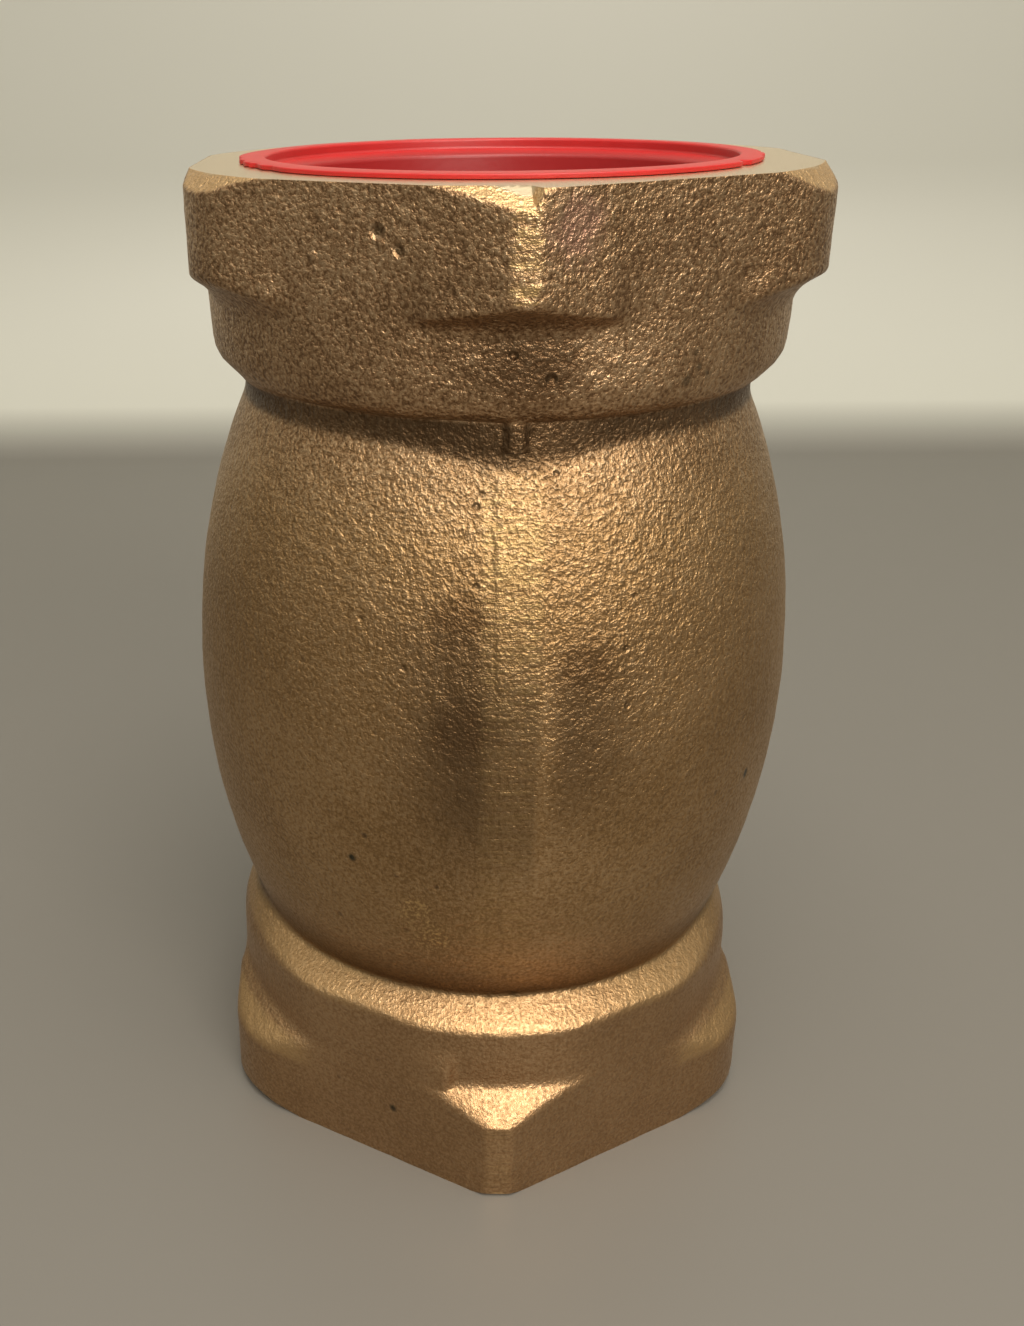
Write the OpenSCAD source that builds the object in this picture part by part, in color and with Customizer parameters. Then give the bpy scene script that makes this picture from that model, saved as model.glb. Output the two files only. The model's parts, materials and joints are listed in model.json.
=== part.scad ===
// In-line spring-loaded non-return valve with threaded ends.
// The valve stands on its inlet end: flow goes up, along +Z.
// Origin: centre of the bottom face, on the axis. A corner of both hexagons faces -Y.

/* [Body casting] */
// Length of the casting, from face to face
body_h = 131; // [129:0.5:134]
// Size of both hexagons across their flats
hex_af = 76; // [75.5:0.1:76.5]
// Radius that rounds the corners of the hexagons
hex_round = 5; // [3:0.5:8]
// Height of a hexagon at its corners
hex_h = 12.4; // [11:0.1:13]
// How much further the shoulder of a hexagon runs where it meets the collar
hex_shoulder = 2.2; // [1.5:0.1:3]
// Radius of the chamfer circle turned on each end face
face_r = 39.5; // [38.6:0.1:41]
// Radius of both collars
collar_r = 37.4; // [37:0.1:37.8]
// Largest radius of the barrel
barrel_r = 41.5; // [40.5:0.1:42.5]
// Height of the widest place of the barrel
barrel_mid = 64; // [63:0.5:65]
// Half length of the ellipse that the barrel follows
barrel_half = 65.5; // [64:0.5:67]
// Thickness of the barrel's wall
wall = 5.2; // [4.5:0.1:6]

/* [Threaded ends] */
// Radius of the counterbore at the mouth of each thread
mouth_r = 30.6; // [30.3:0.1:31]
// Depth of that counterbore
mouth_depth = 3.2; // [3:0.1:3.6]
// Radius at the crests of the thread near the mouth
thread_mouth_r = 28.25; // [28.2:0.05:28.4]
// Length of that first stretch of thread
thread_mouth_len = 6; // [5.5:0.1:6.5]
// Radius at the crests of the thread further in
thread_r = 27.9; // [27.7:0.05:28]
// Depth from an end face to the end of its thread
thread_depth = 20; // [19:0.5:20.5]

/* [Protective cap] */
// Radius of the flange
cap_flange_r = 33; // [31.5:0.1:33.5]
// Thickness of the flange
cap_flange_t = 0.7; // [0.6:0.1:1]
// Outer radius of the cup that sits in the mouth
cap_cup_r = 30.3; // [30:0.1:30.3]
// Depth of that cup below the end face
cap_cup_depth = 3.1; // [2.8:0.1:3.1]
// Outer radius of the skirt inside the thread
cap_skirt_r = 28; // [27.6:0.1:28]
// Depth of the whole cap below the end face
cap_depth = 9.1; // [8:0.1:9.1]
// Thickness of its walls
cap_wall = 0.8; // [0.7:0.1:1]

/* [Seat] */
// Height of the underside of the web that carries the seat
web_bottom = 22; // [21.5:0.5:22]
// Height of the top of that web
web_top = 33; // [33:0.5:34]
// Radius of the hole in the web
web_hole_r = 22.5; // [22.3:0.1:22.7]
// Radius of the port through the seat ring
port_r = 19.5; // [19:0.1:19.5]
// Radius of the seat ring's flange
seat_flange_r = 25.6; // [25:0.1:25.7]
// Thickness of that flange
seat_flange_t = 4; // [3.5:0.1:4.5]
// Height of the lip that the soft seal closes on
seat_lip = 1; // [0.8:0.1:1.2]

/* [Poppet] */
// Radius of the stem
stem_r = 4; // [3.9:0.05:4]
// Full lift of the poppet
lift = 14; // [10:0.5:14]
// Radius of the soft seal
seal_r = 23; // [22.5:0.1:23]
// Thickness of the soft seal
seal_t = 4; // [3.5:0.1:4.5]
// Outer radius of the disc holder
holder_r = 24.8; // [24.4:0.1:24.9]
// Radius of the spring wire
wire_r = 1; // [0.8:0.1:1]
// Number of turns of the spring
spring_turns = 6.5; // [5:0.5:7]

/* [Guides] */
// Outer radius of the hub of the outlet guide
hub_r = 9; // [8.5:0.1:9.5]
// Outer radius of both acetal bushes
bush_r = 5.6; // [5.4:0.1:5.8]
// Radial clearance of the stem in its bushes
stem_clearance = 0.05; // [0.02:0.01:0.08]
// Width of the arms of both guides
arm_w = 3.2; // [2.5:0.1:4]
// Number of arms of each guide
arms = 3; // [3:1:4]

/* [Hidden] */
$fn = 96;

// Colours of the finished pieces
cast_bronze = "#7f6544";
turned_bronze = "#b99a62";
steel = "#b9bcbf";
red_poly = "#d9322f";
black_rubber = "#222222";
white_acetal = "#e8e4da";

// A small amount by which cutting tools run past the faces they cut
past = 1;

// Neck and ledge that carry the outlet guide
throat_r = 26;
ledge_z = 104;
guide_bore_r = 27.6;
ring_groove_r = 29;
guide_rim_t = 4;
wave_t = 0.9;
ring_t = 1.2;
wave_z = ledge_z + guide_rim_t;
ring_z = wave_z + wave_t + 0.1;
outlet_thread_z = body_h - thread_depth;

// Stack of the poppet, from the seat upwards
lip_z = web_top + seat_flange_t + seat_lip;
holder_plate_t = 3;
holder_z = lip_z + seal_t;
holder_top = holder_z + holder_plate_t;
holder_hub_r = 9;
holder_hub_top = holder_top + 4;
shoulder_top = holder_hub_top + 2;
washer_t = 1.5;
washer_r = 15.5;
lock_washer_t = 1.8;
nut_af = 13;
nut_h = 6.5;
lock_washer_z = lip_z - washer_t - lock_washer_t;
nut_z = lock_washer_z - nut_h;

// Guides and spring
inlet_hub_z = web_bottom + 0.7;
inlet_hub_top = nut_z - 0.5;
hub_z = 90;
hub_top = 103;
stem_bottom = inlet_hub_z + 0.2;
stem_top = hub_top + 2.5;
stop_top = hub_z - lift - 0.1;
seat_dish_t = 1.2;
dish_r = 15.4;
dish_rim = 2;
spring_r = 12.3;
spring_z0 = holder_top + seat_dish_t;
spring_z1 = hub_z - seat_dish_t;

// Radius of the barrel's outside and of its cavity at height z
function ellipse_r(z, r, half) = r * sqrt(1 - pow((z - barrel_mid) / half, 2));
function barrel(z) = ellipse_r(z, barrel_r, barrel_half);
function cavity(z) = ellipse_r(z, barrel_r - wall, barrel_half - wall);

// Points of an elliptical arc, round centre c with half axes a, from angle a0 to a1
function arc(c, a, a0, a1, n) = [for (i = [0:n]) let (t = a0 + (a1 - a0) * i / n)
    [c[0] + a[0] * cos(t), c[1] + a[1] * sin(t)]];

// Outline of a hexagon with rounded corners, one of them towards -Y
hex_far = hex_af / sqrt(3);
round_steps = 4;
corner_centre = hex_far - hex_round / cos(30);
hex_outline = [for (i = [0:5], j = [0:round_steps])
    let (t = 60 * i - 90, s = t - 30 + 60 * j / round_steps)
    [corner_centre * cos(t) + hex_round * cos(s), corner_centre * sin(t) + hex_round * sin(s)]];

// Outside of the casting between the two hexagons, as radius and height
collar_low = [[0, hex_h / 2], [collar_r + 0.7, hex_h / 2], [collar_r + 0.7, hex_h + hex_shoulder]];
collar_low_edge = arc([collar_r - 2.05, 22], [2.05, 5.5], 0, 90, 6);
groove_low = [[collar_r - 2.6, 27.9]];
barrel_steps = 26;
barrel_z0 = 28.5;
barrel_z1 = 102.6;
barrel_side = [for (i = [0:barrel_steps]) let (z = barrel_z0 + (barrel_z1 - barrel_z0) * i / barrel_steps)
    [barrel(z), z]];
neck = [[collar_r - 4.1, 103.4], [collar_r - 3.9, 104.3], [collar_r - 2.2, 106.5]];
collar_high_edge = arc([collar_r - 2.4, 111.5], [2.4, 4], -60, 0, 4);
collar_high = [[collar_r + 0.4, body_h - hex_h - hex_shoulder], [collar_r + 0.4, body_h - hex_h / 2],
               [0, body_h - hex_h / 2]];
casting_outline = concat(collar_low, collar_low_edge, groove_low, barrel_side, neck,
                         collar_high_edge, collar_high);

// Turned envelope of one hexagon: chamfer at the face, shoulder towards the collar
chamfer_drop = (hex_far - face_r) * tan(30);
shoulder_round = 2.4;
shoulder_centre = [hex_far - shoulder_round, hex_h - shoulder_round];
hex_envelope = concat([[0, 0], [face_r, 0], [hex_far, chamfer_drop]],
                      arc(shoulder_centre, [shoulder_round, shoulder_round], 0, 60, 4),
                      [[collar_r, hex_h + hex_shoulder], [0, hex_h + hex_shoulder]]);

// Inside of the casting
cavity_steps = 20;
cavity_z0 = web_top + 1.5;
cavity_z1 = 100;
cavity_side = [for (i = [0:cavity_steps]) let (z = cavity_z0 + (cavity_z1 - cavity_z0) * i / cavity_steps)
    [cavity(z), z]];
cavity_outline = concat([[0, web_top], [seat_flange_r + 1.4, web_top]], cavity_side,
                        [[throat_r, cavity_z1 + 1.5], [0, cavity_z1 + 1.5]]);

module hex_end() {
    intersection() {
        linear_extrude(height = hex_h + hex_shoulder + past)
            polygon(hex_outline);
        rotate_extrude()
            polygon(hex_envelope);
    }
}

// Bore of one threaded end, cut from the face at z = 0 upwards
module thread_bore() {
    translate([0, 0, -past])
        cylinder(r = mouth_r, h = mouth_depth + past);
    translate([0, 0, mouth_depth - past])
        cylinder(r = thread_mouth_r, h = thread_mouth_len + past);
    translate([0, 0, mouth_depth + thread_mouth_len - past])
        cylinder(r = thread_r, h = thread_depth - mouth_depth - thread_mouth_len + past);
}

module body() {
    color(cast_bronze)
    difference() {
        union() {
            rotate_extrude()
                polygon(casting_outline);
            hex_end();
            translate([0, 0, body_h])
                mirror([0, 0, 1])
                    hex_end();
        }
        thread_bore();
        translate([0, 0, body_h])
            mirror([0, 0, 1])
                thread_bore();
        translate([0, 0, thread_depth - past])
            cylinder(r = guide_bore_r, h = web_bottom - thread_depth + past);
        cylinder(r = web_hole_r, h = web_top + past);
        rotate_extrude()
            polygon(cavity_outline);
        translate([0, 0, cavity_z1])
            cylinder(r = throat_r, h = ledge_z - cavity_z1 + past);
        translate([0, 0, ledge_z])
            cylinder(r = guide_bore_r, h = outlet_thread_z - ledge_z + past);
        translate([0, 0, ring_z - 0.05])
            cylinder(r = ring_groove_r, h = ring_t + 0.1);
    }
}

// Red plug with a thin flange: a cup in the mouth, a narrower skirt below it and a closed floor
module thread_cap() {
    floor_z = body_h - cap_depth;
    cup_z = body_h - cap_cup_depth;
    color(red_poly)
    rotate_extrude()
        polygon([[0, floor_z], [cap_skirt_r, floor_z], [cap_skirt_r, cup_z], [cap_cup_r, cup_z],
                 [cap_cup_r, body_h], [cap_flange_r, body_h], [cap_flange_r, body_h + cap_flange_t],
                 [cap_cup_r - cap_wall, body_h + cap_flange_t], [cap_cup_r - cap_wall, cup_z + cap_wall],
                 [cap_skirt_r - cap_wall, cup_z + cap_wall], [cap_skirt_r - cap_wall, floor_z + cap_wall],
                 [0, floor_z + cap_wall]]);
}

// Ring turned about Z, from r0 to r1 and from z0 to z1
module ring(r0, r1, z0, z1) {
    translate([0, 0, z0])
        difference() {
            cylinder(r = r1, h = z1 - z0);
            translate([0, 0, -past])
                cylinder(r = r0, h = z1 - z0 + 2 * past);
        }
}

module seat_ring() {
    guide_pocket_z = inlet_hub_z + 5.3;
    groove_r0 = seal_r + 0.1;
    groove_r1 = groove_r0 + 1.9;
    groove_depth = 1.75;
    color(turned_bronze)
    difference() {
        union() {
            ring(port_r, web_hole_r - 0.02, web_bottom + 0.5, web_top);
            ring(port_r, seat_flange_r, web_top, web_top + seat_flange_t);
            ring(port_r + 0.3, port_r + 2, web_top + seat_flange_t, lip_z);
        }
        cylinder(r = port_r + 1, h = guide_pocket_z);
        ring(groove_r0, groove_r1, web_top - past, web_top + groove_depth);
    }
}

// Seal of round section: section radius r1 on a circle of radius r0
module o_ring(r0, r1, z) {
    color(black_rubber)
    translate([0, 0, z])
        rotate_extrude()
            translate([r0, 0])
                circle(r = r1);
}

module seat_o_ring() {
    o_ring(24.05, 0.85, web_top + 0.87);
}

module stem_o_ring() {
    o_ring(5, 0.93, holder_z + 0.95);
}

// Arms of a guide, from the hub out to radius r1
module guide_arms(r1, z0, z1) {
    for (i = [0:arms - 1])
        rotate([0, 0, 360 * i / arms + 90])
            translate([bush_r + 1, -arm_w / 2, z0])
                cube([r1 - bush_r - 1, arm_w, z1 - z0]);
}

module inlet_guide() {
    rim_r = port_r + 0.98;
    rim_h = 4.5;
    arm_h = 4;
    color(turned_bronze)
    difference() {
        union() {
            ring(rim_r - 2, rim_r, inlet_hub_z, inlet_hub_z + rim_h);
            ring(bush_r, bush_r + 2, inlet_hub_z, inlet_hub_top);
            guide_arms(rim_r - 1, inlet_hub_z, inlet_hub_z + arm_h);
        }
        cylinder(r = bush_r, h = body_h);
    }
}

module inlet_guide_bush() {
    color(white_acetal)
    ring(stem_r + stem_clearance, bush_r - 0.02, inlet_hub_z, inlet_hub_top);
}

module outlet_guide() {
    rim_r = 23.5;
    arm_below = 6;
    arm_above = 2;
    color(turned_bronze)
    difference() {
        union() {
            ring(rim_r, guide_bore_r - 0.05, ledge_z, wave_z);
            ring(bush_r, hub_r, hub_z, hub_top);
            guide_arms(throat_r - 0.5, ledge_z - arm_below, ledge_z + arm_above);
        }
        cylinder(r = bush_r, h = body_h);
    }
}

module outlet_guide_bush() {
    color(white_acetal)
    ring(stem_r + stem_clearance, bush_r - 0.02, hub_z, hub_top);
}

module stem() {
    chamfer = 0.8;
    shoulder_r = 6.5;
    color(steel)
    union() {
        translate([0, 0, stem_bottom])
            cylinder(r1 = stem_r - chamfer, r2 = stem_r, h = chamfer);
        translate([0, 0, stem_bottom + chamfer])
            cylinder(r = stem_r, h = stem_top - stem_bottom - 2 * chamfer);
        translate([0, 0, stem_top - chamfer])
            cylinder(r1 = stem_r, r2 = stem_r - chamfer, h = chamfer);
        translate([0, 0, holder_hub_top])
            cylinder(r = shoulder_r, h = shoulder_top - holder_hub_top);
    }
}

module disc_holder() {
    hole_r = stem_r + 0.02;
    o_ring_seat_r = 6;
    o_ring_seat_h = 1.9;
    color(turned_bronze)
    difference() {
        union() {
            ring(hole_r, holder_r, holder_z, holder_top);
            ring(seal_r + 0.05, holder_r, lip_z + 1.5, holder_z);
            ring(hole_r, holder_hub_r, holder_top, holder_hub_top);
        }
        translate([0, 0, holder_z - past])
            cylinder(r = o_ring_seat_r, h = o_ring_seat_h + past);
    }
}

module seal_disc() {
    color(black_rubber)
    ring(stem_r + 0.1, seal_r, lip_z, holder_z);
}

module seal_washer() {
    color(steel)
    ring(stem_r + 0.1, washer_r, lip_z - washer_t, lip_z);
}

// Split spring washer, with its gap towards +X
module lock_washer() {
    outer_r = 6.6;
    gap = 1;
    color(steel)
    difference() {
        ring(stem_r + 0.1, outer_r, lock_washer_z, lip_z - washer_t);
        translate([stem_r - past, -gap / 2, lock_washer_z - past])
            cube([outer_r, gap, lock_washer_t + 2 * past]);
    }
}

module lock_nut() {
    nut_far = nut_af / sqrt(3);
    corner = nut_far - nut_af / 2;
    color(steel)
    difference() {
        intersection() {
            translate([0, 0, nut_z])
                cylinder(r = nut_far, h = nut_h, $fn = 6);
            translate([0, 0, nut_z])
                rotate_extrude()
                    polygon([[0, 0], [nut_af / 2, 0], [nut_far, corner * tan(30)],
                             [nut_far, nut_h - corner * tan(30)], [nut_af / 2, nut_h], [0, nut_h]]);
        }
        translate([0, 0, nut_z - past])
            cylinder(r = stem_r + 0.02, h = nut_h + 2 * past);
    }
}

// Dished washer that holds one end of the spring in its rim
module spring_seat(r0, z0, z1) {
    rim = z1 > z0 ? dish_rim : -dish_rim;
    color(steel)
    union() {
        ring(r0, dish_r, min(z0, z1), max(z0, z1));
        ring(dish_r - 1, dish_r, min(z0, z1 + rim), max(z0, z1 + rim));
    }
}

module lower_spring_seat() {
    spring_seat(holder_hub_r + 0.1, holder_top, spring_z0);
}

module upper_spring_seat() {
    spring_seat(7, hub_z, spring_z1);
}

module lift_stop() {
    color(steel)
    ring(stem_r + 0.1, 6.2, shoulder_top, stop_top);
}

// Compression spring with closed ends: a round wire swept along a helix
module spring() {
    sides = 8;
    steps = 18;
    rings = round(spring_turns * steps);
    closed = 0.75;
    z0 = spring_z0 + wire_r;
    z1 = spring_z1 - wire_r;
    // Turn number to share of the height: the end turns lie close together
    function rise(t) = let (e = closed, n = spring_turns, pitch_end = 2.1 * wire_r / (z1 - z0))
        t < e ? t * pitch_end
        : t > n - e ? 1 - (n - t) * pitch_end
        : e * pitch_end + (t - e) / (n - 2 * e) * (1 - 2 * e * pitch_end);
    points = [for (i = [0:rings], j = [0:sides - 1])
        let (t = i / steps, a = 360 * t, b = 360 * j / sides, r = spring_r + wire_r * cos(b))
        [r * cos(a), r * sin(a), z0 + (z1 - z0) * rise(t) + wire_r * sin(b)]];
    sides_faces = [for (i = [0:rings - 1], j = [0:sides - 1])
        let (k = (j + 1) % sides)
        [i * sides + j, (i + 1) * sides + j, (i + 1) * sides + k, i * sides + k]];
    ends = [[for (j = [0:sides - 1]) j], [for (j = [sides - 1:-1:0]) rings * sides + j]];
    color(steel)
    polyhedron(points = points, faces = concat(sides_faces, ends));
}

// Flat stand-in for the waved ring above the outlet guide
module wave_washer() {
    wave_w = 3;
    color(steel)
    ring(guide_bore_r - 0.2 - wave_w, guide_bore_r - 0.2, wave_z, wave_z + wave_t);
}

// Internal retaining ring: open towards -Y, with a lug and a plier hole at each end
module retaining_ring() {
    inner_r = 25.8;
    lug_a = 14;
    gap_a = lug_a - 6;
    lug_centre = 24.4;
    lug_r = 3;
    plier_r = 1.1;
    far = 40;
    color(steel)
    translate([0, 0, ring_z])
        linear_extrude(height = ring_t)
            difference() {
                union() {
                    difference() {
                        circle(r = ring_groove_r - 0.1);
                        circle(r = inner_r);
                    }
                    for (s = [-1, 1])
                        rotate([0, 0, 270 + s * lug_a])
                            translate([lug_centre, 0])
                                circle(r = lug_r);
                }
                for (s = [-1, 1])
                    rotate([0, 0, 270 + s * lug_a])
                        translate([lug_centre, 0])
                            circle(r = plier_r);
                polygon([[0, 0], [-far * tan(gap_a), -far], [far * tan(gap_a), -far]]);
            }
}

body();
thread_cap();
seat_ring();
seat_o_ring();
inlet_guide();
inlet_guide_bush();
stem();
disc_holder();
seal_disc();
seal_washer();
lock_washer();
lock_nut();
stem_o_ring();
lower_spring_seat();
spring();
upper_spring_seat();
lift_stop();
outlet_guide();
outlet_guide_bush();
wave_washer();
retaining_ring();
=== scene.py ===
# %% [markdown]
# # A bronze non-return valve, dressed for its portrait
# A two inch valve stands on its inlet end: one bronze sand casting with a hexagon at each end, and a red
# plastic plug that keeps dirt out of the upper thread. An exact model of it exists already, and this notebook
# gives it its looks. The exact model fixes every size. What it leaves out is what a foundry leaves behind:
# soft corners, sand grain, a ground parting line. Numbers below are millimetres unless they say otherwise.

# %% Load the frame
import json
import math
import bmesh
import bpy
from mathutils import Matrix, Vector, noise

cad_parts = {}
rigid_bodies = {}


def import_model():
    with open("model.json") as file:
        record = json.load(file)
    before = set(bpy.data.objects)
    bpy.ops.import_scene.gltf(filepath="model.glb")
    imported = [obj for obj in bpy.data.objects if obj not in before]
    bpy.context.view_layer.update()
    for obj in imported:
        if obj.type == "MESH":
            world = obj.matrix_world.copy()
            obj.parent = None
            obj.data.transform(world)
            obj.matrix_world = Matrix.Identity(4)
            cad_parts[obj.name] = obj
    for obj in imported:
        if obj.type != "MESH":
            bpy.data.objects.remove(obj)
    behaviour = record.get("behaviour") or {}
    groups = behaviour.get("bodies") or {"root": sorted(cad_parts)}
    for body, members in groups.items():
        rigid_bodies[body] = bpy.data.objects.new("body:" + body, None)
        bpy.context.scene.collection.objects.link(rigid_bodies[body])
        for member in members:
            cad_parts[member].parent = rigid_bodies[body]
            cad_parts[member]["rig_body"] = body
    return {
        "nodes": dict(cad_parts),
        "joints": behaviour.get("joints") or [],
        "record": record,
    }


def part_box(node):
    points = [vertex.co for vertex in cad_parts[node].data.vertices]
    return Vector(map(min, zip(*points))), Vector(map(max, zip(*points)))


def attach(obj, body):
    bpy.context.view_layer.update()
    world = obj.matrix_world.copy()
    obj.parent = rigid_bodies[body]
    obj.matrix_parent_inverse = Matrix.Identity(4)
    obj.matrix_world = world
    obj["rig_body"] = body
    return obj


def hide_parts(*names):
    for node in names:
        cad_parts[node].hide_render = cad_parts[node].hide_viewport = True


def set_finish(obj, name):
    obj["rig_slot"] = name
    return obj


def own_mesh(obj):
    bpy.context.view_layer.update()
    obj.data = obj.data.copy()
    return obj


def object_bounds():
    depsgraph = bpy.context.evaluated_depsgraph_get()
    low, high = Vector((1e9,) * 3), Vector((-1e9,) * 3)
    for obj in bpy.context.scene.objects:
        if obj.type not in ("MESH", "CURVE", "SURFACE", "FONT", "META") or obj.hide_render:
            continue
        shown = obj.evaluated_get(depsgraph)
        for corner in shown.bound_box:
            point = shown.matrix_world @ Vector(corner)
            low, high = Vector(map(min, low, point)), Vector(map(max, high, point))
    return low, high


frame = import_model()
cad_low, cad_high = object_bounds()
MM = 0.001
low, high = cad_low / MM, cad_high / MM
print("the model measures", [round(side, 1) for side in high - low], "mm")

# %% [markdown]
# ## The camera
# A photograph is matched by rebuilding the camera that took it. Its height, distance and tilt were worked out
# from known circles and hexagons on the valve: each of them looks like a different ellipse from each height.
# The lens is stated in pixels first, because that is what a picture can be measured in. A sideways shift is
# needed because the valve doesn't stand in the middle of the lens's view.

# %% Camera
photo_width, photo_height = 1024, 1326
focal_pixels = 1362.1
lens_axis_pixel = (371.8, 662.8)
camera_distance, camera_height = 184.2, 143.3
camera_azimuth = math.radians(-4.08)
camera_turn, camera_tilt, camera_roll = (math.radians(a) for a in (1.22, 24.12, 0.78))

camera = bpy.data.objects.new("camera", bpy.data.cameras.new("camera"))
bpy.context.scene.collection.objects.link(camera)
camera.data.sensor_fit = "VERTICAL"
camera.data.sensor_height = 36
camera.data.lens = focal_pixels / photo_height * camera.data.sensor_height
camera.data.shift_x = (photo_width / 2 - lens_axis_pixel[0]) / photo_height
camera.data.shift_y = (lens_axis_pixel[1] - photo_height / 2) / photo_height
camera.data.clip_start, camera.data.clip_end = 0.01, 20
camera.matrix_world = (
    Matrix.Translation(Vector((camera_distance * math.sin(camera_azimuth),
                               -camera_distance * math.cos(camera_azimuth), camera_height)) * MM)
    @ Matrix.Rotation(camera_turn, 4, "Z")
    @ Matrix.Rotation(math.pi / 2 - camera_tilt, 4, "X")
    @ Matrix.Rotation(-camera_roll, 4, "Z"))
bpy.context.scene.camera = camera
print("lens", round(camera.data.lens, 1), "mm on a 36 mm high sensor")

# %% [markdown]
# ## A few helpers
# Most of this valve was made by turning, so most of it can be made by spinning an outline. An outline is a
# list of corners, each with a radius, height and fillet. `rounded` turns a fillet into a short arc, and
# `spin_outline` spins the result a full turn. A full spin meets itself, so its first and last ring are
# merged, and the normals are worked out again because a spin may leave them pointing inwards.

# %% Outline and spin helpers
def rounded(corners, closed=True, steps=4):
    """Points along an outline. A corner is (radius, height) or (radius, height, fillet)."""
    points = []
    count = len(corners)
    for i, corner in enumerate(corners):
        here = Vector(corner[:2])
        fillet = corner[2] if len(corner) > 2 else 0
        if not fillet or (not closed and i in (0, count - 1)):
            points.append(here)
            continue
        before = (Vector(corners[i - 1][:2]) - here).normalized()
        after = (Vector(corners[(i + 1) % count][:2]) - here).normalized()
        half = before.angle(after) / 2
        centre = here + (before + after).normalized() * fillet / math.sin(half)
        start = here + before * fillet / math.tan(half) - centre
        end = here + after * fillet / math.tan(half) - centre
        for step in range(steps + 1):
            points.append(centre + start.slerp(end, step / steps).normalized() * start.length)
    return [(p.x, p.y) for p in points]


def spin_outline(points, steps, closed=True):
    """A bmesh, in millimetres, of the outline spun a full turn about Z."""
    bm = bmesh.new()
    verts = [bm.verts.new((r, 0, z)) for r, z in points]
    pairs = zip(verts, verts[1:] + verts[:1] if closed else verts[1:])
    edges = [bm.edges.new(pair) for pair in pairs]
    bmesh.ops.spin(bm, geom=verts + edges, cent=(0, 0, 0), axis=(0, 0, 1), dvec=(0, 0, 0),
                   angle=2 * math.pi, steps=steps, use_merge=True, use_duplicate=False)
    bmesh.ops.remove_doubles(bm, verts=bm.verts, dist=1e-5)
    bmesh.ops.recalc_face_normals(bm, faces=bm.faces)
    return bm


# %% [markdown]
# A finished piece is an object in metres that sits at the origin, with its place in its mesh. It says which
# body of the mechanism it moves with and which finish it has, and the plain solids it stands for are hidden.
# Faces are smooth, and edges sharper than a chosen angle stay crisp.

# %% Finishing a piece
made = {}


def piece(bm, name, body, slot, replaces=(), crisp=35):
    """Makes an object of a bmesh in millimetres and hangs it on a body."""
    bmesh.ops.scale(bm, vec=(MM, MM, MM), verts=bm.verts)
    mesh = bpy.data.meshes.new(name)
    bm.to_mesh(mesh)
    bm.free()
    mesh.shade_smooth()
    mesh.set_sharp_from_angle(angle=math.radians(crisp))
    thing = bpy.data.objects.new(name, mesh)
    bpy.context.scene.collection.objects.link(thing)
    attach(thing, body)
    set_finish(thing, slot)
    if replaces:
        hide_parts(*replaces)
    made[name] = thing
    mesh.calc_loop_triangles()
    print(f"{name}: {len(mesh.loop_triangles)} triangles")
    return thing


# %% [markdown]
# ## The casting
# The body is sand cast: bronze is poured into two halves of a mould made of packed sand, round a sand core
# that leaves the hollow. Only the two end faces, the chamfer at each hexagon and the threads are turned on a
# lathe afterwards. It could be built from a cylinder and two hexagonal prisms joined by booleans, but then
# every join would be knife sharp. Instead one outline is spun into a fine grid, and each of its points is
# pulled in to the hexagon where there is one. The lines of the grid are gathered at the six corners, where
# the shape turns fastest.

# %% Measures of the casting
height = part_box("body")[1].z / MM
hex_flats = 76.0
hex_far = hex_flats / math.sqrt(3)
face_radius = 39.5
mouth_radius, mouth_depth = 30.6, 3.2
collar_radius = 37.5
barrel_radius, barrel_middle, barrel_half = 41.45, 64.0, 65.5
barrel_low, barrel_high = 28.5, 102.5
print("hexagon", hex_flats, "mm across flats,", round(2 * hex_far, 1), "mm across sharp corners")

# %% [markdown]
# The outline is written as heights, and formulas give the radius at each height. A few helpers make such
# formulas short. `smooth_step` and `swell` fade a feature in and out, and `smooth_least` and `smooth_most`
# choose between two radii with the crease between them rounded, because sand rounds every crease.

# %% Helpers for formulas
def rows(start, end, spacing):
    """Heights from start up to end, without the end, about spacing apart."""
    count = max(1, round(abs(end - start) / spacing))
    return [start + (end - start) * i / count for i in range(count)]


def lerp(z, points):
    """The value at height z along a list of (height, value) points."""
    for (z0, r0), (z1, r1) in zip(points, points[1:]):
        if z <= z1:
            t = max(0.0, (z - z0) / (z1 - z0))
            return r0 + (r1 - r0) * t
    return points[-1][1]


def smooth_step(value, start, end):
    """0 before start, 1 after end, and eased between them."""
    t = min(1.0, max(0.0, (value - start) / (end - start)))
    return t * t * (3 - 2 * t)


def swell(value, rise_start, rise_end, fall_start, fall_end):
    """0, then 1, then 0 again, eased where it rises and falls."""
    return smooth_step(value, rise_start, rise_end) * (1 - smooth_step(value, fall_start, fall_end))


def smooth_least(a, b, blend):
    """The lesser of two values, with the crease between them rounded over a blend."""
    h = max(blend - abs(a - b), 0) / blend
    return min(a, b) - h * h * blend / 4


def smooth_most(a, b, blend):
    """The greater of two values, with the crease between them rounded over a blend."""
    return -smooth_least(-a, -b, blend)


# %% [markdown]
# Between the hexagons the casting is round. The low collar is wide at front and back, so wide that the flats
# of the hexagon trim it, and its top falls to the barrel as a sloping ledge. A thin pad stands out on its
# front. At the neck a groove runs round under the upper collar. Its lip is crisp in front and softer at the
# sides, and metal has filled it up a little at the parting line.

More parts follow.
